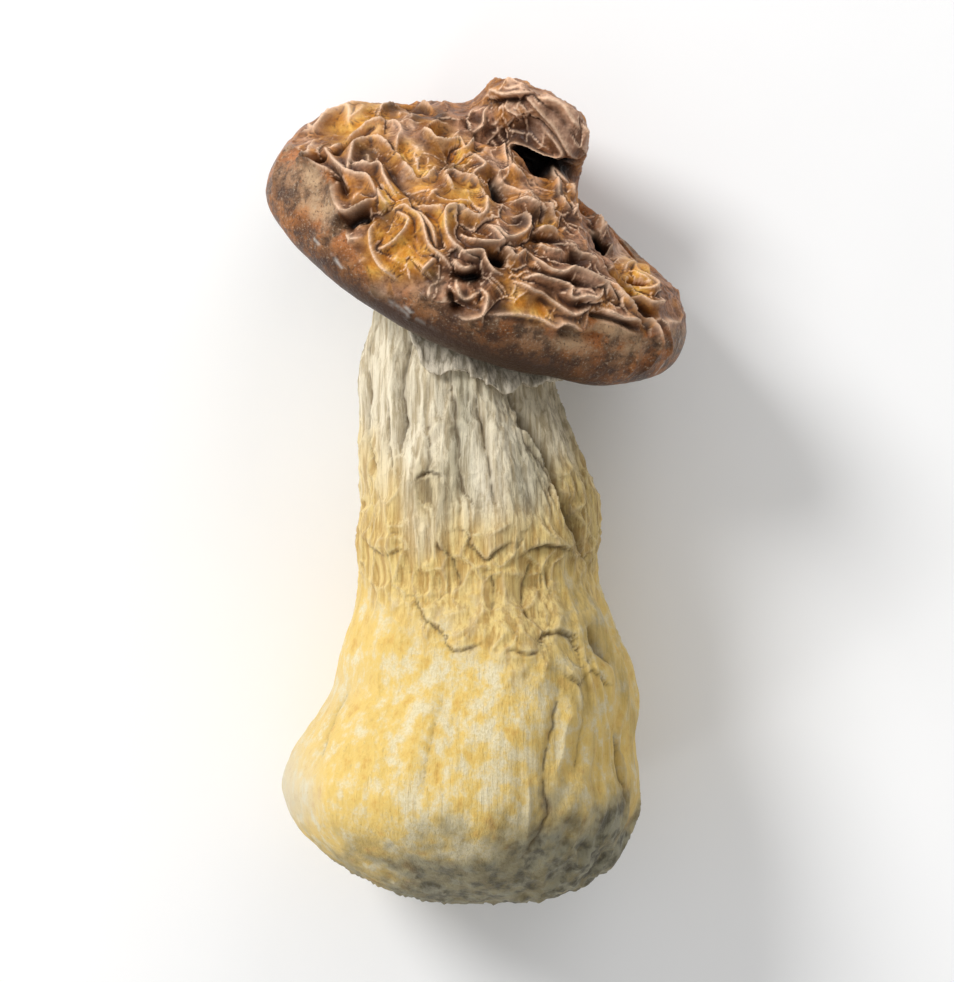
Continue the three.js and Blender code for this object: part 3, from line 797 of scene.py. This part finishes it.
def cap_material():
    sh = Shader("dried_cap_skin")
    ridge, hollow, deep = sh.attribute("ridge"), sh.attribute("hollow"), sh.attribute("deep")
    rim, low, raised = sh.attribute("rim"), sh.attribute("low"), sh.attribute("raised")
    glow, under = sh.attribute("glow"), sh.attribute("under")
    dusk, pale, scuff = sh.attribute("dusk"), sh.attribute("pale"), sh.attribute("scuff")
    tint, broad, mottled = sh.attribute("tint"), sh.noise(0.20, 3), sh.noise(1.0, 5, 0.65)
    speck = sh.noise(4.5, 3, 0.7)
    brown = sh.mix(sh.fit(mottled, 0.36, 0.64), rgb(104, 66, 42), rgb(188, 136, 102))
    amber = sh.mix(sh.fit(mottled, 0.36, 0.64), rgb(138, 80, 24), rgb(214, 144, 62))
    toned = sh.math("ADD", broad, sh.math("MULTIPLY", sh.math("SUBTRACT", tint, 0.5), 0.22))
    base = sh.mix(sh.fit(toned, 0.42, 0.60), brown, amber)
    tan = sh.mix(sh.fit(mottled, 0.36, 0.64), rgb(178, 132, 104), rgb(236, 194, 164))
    base = sh.cover(base, pale, 0.9, tan)
    # Near black-brown spots: dark skin, and painted shade in the pockets.
    base = sh.cover(base, dusk, 0.9, rgb(48, 26, 14))
    # Painted highlight on raised skin.
    base = sh.cover(base, raised, 0.3, rgb(226, 178, 138))
    base = sh.mix(sh.fit(tint, 0.75, 0.9, 0, 0.35), base, rgb(92, 56, 34))
    warm = sh.mix(sh.fit(mottled, 0.35, 0.7), rgb(232, 156, 36), rgb(255, 212, 104))
    base = sh.cover(base, glow, 0.85, warm)
    # Painted shade in the hollows, warmer where the amber patches are.
    pocket = sh.mix(glow, rgb(62, 32, 12), rgb(176, 98, 18))
    base = sh.cover(base, hollow, 0.85, pocket)
    # Painted shade in sharp inward bends.
    base = sh.cover(base, sh.attribute("crease"), 0.85, rgb(60, 30, 12))
    # Pale crests: worn skin with a painted highlight.
    base = sh.cover(base, ridge, 0.88, rgb(246, 210, 178))
    edge = sh.mix(sh.fit(mottled, 0.38, 0.64), rgb(84, 60, 40), rgb(158, 122, 90))
    patch = sh.fit(sh.noise(0.32, 4, 0.6), 0.48, 0.60, 0, 0.8)
    edge = sh.mix(patch, edge, rgb(176, 104, 44))
    dark = sh.mix(sh.fit(mottled, 0.40, 0.62), rgb(72, 40, 14), rgb(148, 90, 36))
    # Painted shade: darker towards the margin's lowest part.
    edge = sh.mix(low, edge, dark)
    # Painted highlight band where the pale patches lie on the margin.
    edge = sh.cover(edge, pale, 0.75, sh.mix(mottled, rgb(120, 84, 50), rgb(222, 188, 146)))
    # Dark spots on the margin: dark skin with painted shade.
    edge = sh.cover(edge, dusk, 0.55, rgb(62, 32, 12))
    edge = sh.mix(sh.fit(speck, 0.56, 0.68, 0, 0.6), edge, rgb(182, 164, 140))
    edge = sh.mix(sh.fit(speck, 0.44, 0.36, 0, 0.6), edge, rgb(40, 28, 20))
    base = sh.cover(base, rim, 0.95, edge)
    # Painted shade, nearly black, in the deepest pockets.
    base = sh.mix(deep, base, rgb(20, 13, 10))
    # Painted highlight streaks over the margin.
    base = sh.cover(base, scuff, 0.85, rgb(226, 222, 214))
    # Painted shade under the rim.
    base = sh.mix(under, base, rgb(60, 38, 24))
    sh.bumps((mottled, 0.20), (speck, 0.10))
    shine = sh.fit(mottled, 0.3, 0.75, 0.34, 0.54)
    return sh.finish(base, shine, Specular_IOR_Level=0.25, Coat_Weight=0.07, Coat_Roughness=0.16)


# ---- The stem ----
# Grooves seen from above, in millimetres from the model's middle: line, width and depth.
STEM_GROOVES = (
    (((-4.7, 11.7), (-5.4, 8.1), (-5.3, 5.2), (-5.6, 2.9)), 0.26, 0.9),
    (((-7.85, 8.5), (-8.05, 4.8), (-7.3, 1.4)), 0.28, 0.6),
    (((-6.6, 7.0), (-6.4, 3.5), (-6.0, 1.2)), 0.20, 0.45),
    (((-3.6, 5.5), (-3.4, 2.8), (-3.9, 0.9)), 0.20, 0.35),
    (((-2.3, 8.7), (-1.9, 7.1), (-1.5, 4.3), (-1.2, 0.6), (-0.4, -0.9)), 0.26, 0.6),
    (((0.0, 6.6), (0.5, 4.3), (0.9, 1.4), (1.5, -1.3)), 0.34, 0.7),
    (((2.3, 7.3), (3.4, 5.2), (4.6, 3.3), (5.7, 0.6), (6.7, -1.7), (8.0, -5.5)), 0.42, 1.5),
    (((3.4, 3.9), (5.0, 1.4), (5.3, -0.3)), 0.22, 0.6),
    (((-3.0, -3.6), (-1.7, -5.2), (-1.1, -7.0)), 0.24, 0.45),
    (((0.9, -5.6), (1.2, -7.4), (1.0, -9.0)), 0.22, 0.45),
    (((3.9, -5.2), (3.3, -7.6), (3.6, -9.6)), 0.24, 0.45),
    (((6.1, -13.9), (5.5, -16.6), (4.8, -20.0), (5.0, -23.5), (3.0, -26.9)), 0.34, 0.5),
    (((7.6, -15.0), (7.3, -18.0), (7.0, -20.6)), 0.45, 0.35),
    (((10.1, -17.3), (10.5, -20.0), (10.9, -23.0)), 0.26, 0.5),
    (((8.0, -9.8), (8.8, -11.2), (9.8, -12.6)), 0.60, 1.1),
    (((-2.2, -13.9), (-3.5, -18.9), (-4.0, -21.9)), 0.50, 0.25),
    (((-9.4, -14.4), (-10.8, -17.2), (-11.3, -19.4)), 0.40, 0.3),
)

# Torn edges of scales, seen from above. The flesh above an edge overlaps what is below it.
# Each is a line, a width and a height.
STEM_SCALES = (
    (((-0.8, -2.8), (-0.4, -4.0), (0.6, -4.9), (1.5, -4.2), (2.4, -3.6)), 1.6, 0.5),
    (((2.8, -4.9), (4.0, -4.0), (5.3, -4.0), (6.9, -4.4)), 1.6, 0.5),
    (((-4.4, -7.6), (-3.6, -9.1), (-2.7, -9.9), (-1.9, -11.2), (-1.2, -11.4), (0.2, -10.9)), 1.8, 0.45),
    (((2.1, -11.4), (4.2, -11.6), (4.6, -10.5), (5.7, -10.1), (6.7, -10.5), (7.5, -12.2)), 1.8, 0.5),
    (((5.9, -12.9), (7.3, -13.9), (8.2, -12.9), (9.4, -14.0)), 1.5, 0.45),
    (((-4.6, 0.7), (-3.6, 1.5), (-2.4, 1.2)), 0.9, 0.35),
    (((-8.0, -3.4), (-6.6, -4.6), (-5.2, -4.2)), 1.2, 0.3),
)


def stem_relief(p, n, up, neck, waist, bulb, right):
    """How far fibres, folds, wrinkles and lumps stand out from the stem."""
    # Long fibres and folds: noise stretched along the stem. On the right they run outwards.
    q = warped(p, (5, 9, 5), 0.8, 3)
    q[:, 0] += 0.45 * q[:, 1] * step(0.5, 5.0, p[:, 0]) * step(0.3, 0.5, up)
    long_folds = 1 - np.abs(noise(q, (2.2, 17, 2.2), 4)) * 2
    fibres = 1 - np.abs(noise(q, (0.9, 9, 0.9), 5)) * 2
    threads = rough(q, (0.36, 7.0, 0.36), 6, 2)
    height = (neck + 0.5 * waist) * (0.20 * long_folds + 0.20 * fibres ** 3)
    height += (0.2 + 0.8 * neck + 0.6 * waist) * 0.085 * threads
    # The waist is crossed by irregular wrinkles, and the bulb is lumpy and wrinkled on the right.
    wrinkle, _ = cells(warped(p, 2.0, 0.9, 13), (1.8, 3.0, 1.8), 14)
    height += (waist + 0.35 * neck) * (0.36 * np.exp(-wrinkle / 0.14) - 0.14)
    drawn = noise(warped(p, 2.5, 0.9, 25), (2.0, 7.5, 2.0), 24)
    height += waist * (0.1 + 0.2 * step(0.0, 0.6, n[:, 2])) * (1 - 2 * np.abs(drawn))
    height += bulb * (0.16 * rough(p, (3.2, 5.5, 3.2), 15, 3) + 0.03 * rough(p, (0.6, 1.8, 0.6), 16, 2))
    height += bulb * right * 0.34 * (1 - 2 * np.abs(noise(warped(p, 3, 0.8, 18), (1.3, 6.5, 1.3), 17)))
    return height


def stem_piece():
    obj = grown("stem", 0.30, 8)
    mesh = obj.data
    p, e = positions(mesh), edges(mesh)
    smooth = relaxed(p, e, 20)
    set_positions(mesh, smooth)
    n = normals(mesh)
    up = (p[:, 1] - stem_low[1]) / STEM_LENGTH
    resting = 1 - step(0.0, 1.2, p[:, 2])
    wander = up + 0.05 * noise(p, 3.5, 2)
    q_wide = warped(p, 3.0, 0.6, 19)
    wander = wander - 0.10 * step(3.0, 9.0, np.abs(p[:, 0] + 0.5)) - 0.04 * noise(q_wide, (1.2, 5, 1.2), 10)
    neck = step(0.49, 0.69, wander)
    bulb = 1 - step(0.34, 0.46, wander)
    waist = np.clip(1 - neck - bulb, 0, 1)
    right = step(0.5, 7.0, p[:, 0])

    height = stem_relief(p, n, up, neck, waist, bulb, right)

    surface = surface_at(mesh, p)
    middle, wanted = np.zeros(3), n[:, 2] > 0.0
    ragged = p + 0.16 * np.stack([noise(p, 0.7, 41), noise(p, 0.7, 42), noise(p, 0.7, 43)], 1)
    away, width, depth = near_marks(surface, STEM_GROOVES, middle, ragged, wanted)
    far = np.linalg.norm(away, axis=1)
    groove = depth * (0.7 * np.exp(-far / (0.6 * width)) + 0.3 * bump(far, 2 * width))
    height -= groove
    away, width, depth = near_marks(surface, STEM_SCALES, middle, ragged, wanted)
    depth *= 0.65 + 0.6 * noise(p, 1.6, 44)
    far = np.linalg.norm(away, axis=1)
    above = step(-0.08, 0.10, away[:, 1])
    overlap = depth * above * bump(far, width)
    shadow = (1 - above) * bump(far, 0.26) * np.clip(depth * 2, 0, 1)
    height += overlap - 0.25 * shadow
    height *= 1 - resting

    end = 1 - step(0.0, 0.12, up)
    specks = np.clip(noise(p, 0.4, 52), 0, 1) ** 2
    height += end * (1 - resting) * (0.10 * rough(p, 0.9, 51, 3) + 0.22 * specks)
    moved = p + n * height[:, None]
    moved[:, 2] = np.maximum(moved[:, 2], 0.0)
    set_positions(mesh, moved)

    around = relaxed(height[:, None], e, 25)[:, 0]
    bend = curving(mesh, moved, e)
    bruise_edge = 0.095 + 0.06 * step(-2, 6, p[:, 0]) - 0.04 * step(-4, -10, p[:, 0])
    bruised = 1 - step(-0.07, 0.07, up - bruise_edge + 0.05 * rough(p, 3.4, 22, 5, 0.6))
    torn = bump(np.hypot(p[:, 0] + 3.4, (p[:, 1] - 0.2) / 1.3), 1.3) * wanted
    torn_dark = torn * step(-0.3, 0.1, rough(p, (0.5, 1.2, 0.5), 45, 3))
    # Painted shade: skin lower than the skin around it and sharp inward bends.
    dented = 0.5 * step(0.02, 0.35, around - height) + 0.7 * step(0.5, 2.0, bend)
    mottled = 0.35 + 0.65 * step(-0.2, 0.5, rough(p, (2.2, 4.5, 2.2), 23, 3))
    paint(
        mesh,
        # Painted highlight: skin above its surroundings and sharp outward bends are painted lighter.
        raised=np.maximum(step(0.0, 0.25, height - around), step(0.4, 1.8, -bend)),
        # Painted shade in grooves, dents and under scale edges, together with the dark torn flesh, which is
        # its own colour.
        groove=np.clip(dented + groove + 0.8 * shadow + 0.9 * torn_dark, 0, 1),
        whitish=neck,
        yellow=bulb,
        paler=step(-10, -3, p[:, 0]) * step(9, 4, p[:, 0]),
        bruise=bruised,
        # Olive on the right side: partly the flesh's olive tone, partly painted shade on the side away from
        # the key lamp; the torn patch is its own olive.
        olive=np.clip(right * (1 - 0.5 * neck) * mottled + torn, 0, 1),
        fuzzy=step(0.70, 1.0, -n[:, 0]) * step(0.40, 0.25, up),
    )
    return hand_over(obj, "stem_and_bulb", "stem_flesh", stem_material(), "stem")


def stem_material():
    sh = Shader("dried_stem_flesh")
    groove, raised = sh.attribute("groove"), sh.attribute("raised")
    fibre_place = sh.stretched((1.0, 0.06, 1.0))
    fibres = sh.noise(2.6, 6, 0.66, fibre_place)
    blotch = sh.noise(0.75, 6, 0.62, sh.stretched((1.0, 0.8, 1.0)))
    grain = sh.noise(5.0, 4, 0.7)
    cream = sh.mix(sh.fit(fibres, 0.38, 0.60), rgb(190, 172, 138), rgb(242, 230, 202))
    grey = sh.mix(sh.fit(fibres, 0.38, 0.62), rgb(118, 112, 92), rgb(196, 188, 162))
    cream = sh.mix(sh.fit(sh.noise(0.3, 3, 0.5, fibre_place), 0.46, 0.62, 0, 0.7), cream, grey)
    ochre = sh.mix(sh.fit(fibres, 0.38, 0.62), rgb(190, 152, 80), rgb(232, 204, 130))
    pale = sh.mix(sh.fit(grain, 0.35, 0.65), rgb(220, 204, 158), rgb(236, 224, 190))
    gold = sh.mix(sh.fit(blotch, 0.30, 0.45), rgb(218, 172, 82), rgb(230, 196, 108))
    blotch = sh.math("ADD", blotch, sh.math("MULTIPLY", sh.attribute("paler"), 0.07))
    bulb = sh.mix(sh.fit(blotch, 0.47, 0.68, 0, 0.95), gold, pale)
    bulb = sh.mix(sh.fit(fibres, 0.56, 0.70, 0, 0.35), bulb, rgb(196, 158, 84))
    base = sh.mix(sh.attribute("yellow"), ochre, bulb)
    base = sh.mix(sh.attribute("whitish"), base, cream)
    olive = sh.mix(sh.fit(fibres, 0.35, 0.65), rgb(122, 102, 50), rgb(196, 172, 108))
    # Olive tone with painted shade on the right side.
    base = sh.cover(base, sh.attribute("olive"), 0.50, olive)
    # Painted highlight on raised flesh.
    base = sh.cover(base, raised, 0.3, rgb(240, 226, 188))
    spots = sh.noise(0.8, 6, 0.6)
    stain = sh.mix(sh.fit(spots, 0.38, 0.62), rgb(58, 60, 52), rgb(142, 140, 120))
    stain = sh.mix(sh.fit(blotch, 0.50, 0.66, 0, 0.5), stain, rgb(150, 132, 78))
    base = sh.cover(base, sh.attribute("bruise"), 0.92, stain)
    base = sh.cover(base, sh.attribute("fuzzy"), 0.7, rgb(208, 202, 184))
    # Painted shade in grooves, dents and under scale edges, with the dark torn flesh.
    base = sh.cover(base, groove, 0.68, rgb(92, 72, 40))
    base = sh.mix(sh.fit(grain, 0.60, 0.72, 0, 0.3), base, rgb(116, 94, 56))
    sh.bumps((fibres, 0.24), (grain, 0.08))
    return sh.finish(base, 0.85, Sheen_Weight=0.12, Sheen_Roughness=0.6)


# ---- The gills ----
def ceiling_at(reach):
    """How high the cap's ceiling is, that far from the cap's axis."""
    return CEILING_HEIGHT - CEILING_DROP * reach / LIP


def plate_faces(base, rows, drops):
    """The faces of one plate, whose two sides are grids of points, one after the other."""
    faces = []
    n_side, width = (rows + 1) * (drops + 1), drops + 1
    for i in range(rows):
        for j in range(drops):
            a = base + i * width + j
            b, c, d = a + width, a + width + 1, a + 1
            faces.append((a, d, c, b))
            faces.append((a + n_side, b + n_side, c + n_side, d + n_side))
    for i in range(rows):
        for j in (0, drops):
            a = base + i * width + j
            quad = (a, a + width, a + width + n_side, a + n_side)
            faces.append(quad if j else quad[::-1])
    for j in range(drops):
        for i in (0, rows):
            a = base + i * width + j
            quad = (a, a + 1, a + 1 + n_side, a + n_side)
            faces.append(quad[::-1] if i else quad)
    return faces


def gills_piece():
    rng = np.random.default_rng(11)
    verts, faces = [], []
    count = 104
    for k in range(count):
        angle = 2 * math.pi * (k + rng.uniform(-0.12, 0.12)) / count
        short = k % 2 == 1
        inner = rng.uniform(8.6, 9.6) if short else 5.7
        outer, rows, drops = 11.8, 10, 4
        phase, bend = rng.uniform(0, 6.28), rng.uniform(0.25, 0.6)
        base = len(verts)
        for side in (-1, 1):
            for i in range(rows + 1):
                share = i / rows
                reach = inner + (outer - inner) * share
                start = 0.35 + 0.65 * min(1, 4 * share + 0.35)
                depth = (2.6 if short else 3.1) * (1 - 0.5 * share ** 2) * start
                for j in range(drops + 1):
                    down = j / drops
                    ripple = 0.12 * math.sin(9 * share + 2 * phase) * down
                    sway = bend * down * math.sin(3.2 * share + phase) + ripple
                    thick = 0.13 * (1 - 0.6 * down) * side
                    x = reach * math.cos(angle) - (sway + thick) * math.sin(angle)
                    z = reach * math.sin(angle) + (sway + thick) * math.cos(angle)
                    y = ceiling_at(reach) - 0.2 - depth * down * (1 + 0.06 * math.sin(7 * share + phase))
                    z *= (CAP_NEAR if z > 0 else CAP_FAR) / CAP_RADIUS
                    verts.append(CAP_MIDDLE + x * SIDEWAYS + y * CROWN + z * NEAR)
        faces += plate_faces(base, rows, drops)
    mesh = bpy.data.meshes.new("gill_plates")
    mesh.from_pydata([tuple(v) for v in verts], [], faces)
    obj = bpy.data.objects.new("gill_plates", mesh)
    bpy.context.scene.collection.objects.link(obj)
    sh = Shader("gill_tissue")
    tone = sh.mix(sh.fit(sh.noise(1.1, 4), 0.35, 0.7), rgb(40, 28, 34), rgb(86, 66, 62))
    sh.bumps((sh.noise(5, 3), 0.08))
    return hand_over(obj, "gill_plates", "gill_tissue", sh.finish(tone, 0.75), "gills")


# ---- The veil ----
def veil_piece():
    obj = grown("veil_remnant", 0.16, 4, 0)
    mesh = obj.data
    p, e = positions(mesh), edges(mesh)
    n = normals(mesh)
    q = warped(p, 2.0, 0.4, 3)
    # Thin, torn and drawn into strips that run down the stem.
    pleats = 1 - 2 * np.abs(noise(q, (1.1, 7, 1.1), 4))
    height = 0.20 * pleats + 0.05 * rough(q, (0.4, 2.4, 0.4), 5, 2)
    tucked = step(-3.5, -6.5, p[:, 0])
    moved = p + n * height[:, None] + tucked[:, None] * np.array([0.7, 1.6, 0.0])
    set_positions(mesh, moved)
    around = relaxed(height[:, None], e, 12)[:, 0]
    # Painted shade in the valleys between the pleats.
    paint(mesh, groove=step(0.0, 0.15, around - height))
    sh = Shader("veil_tissue")
    fibres = sh.noise(2.4, 5, 0.62, sh.stretched((1.0, 0.16, 1.0)))
    tone = sh.mix(sh.fit(fibres, 0.36, 0.64), rgb(150, 138, 116), rgb(228, 216, 194))
    # Painted shade in the pleats' valleys.
    tone = sh.cover(tone, sh.attribute("groove"), 0.6, rgb(78, 70, 54))
    sh.bumps((fibres, 0.18), (sh.noise(5, 3, 0.7), 0.05))
    return hand_over(obj, "torn_veil", "veil_tissue", sh.finish(tone, 0.85), "veil_remnant")


cap_piece()
stem_piece()
gills_piece()
veil_piece()
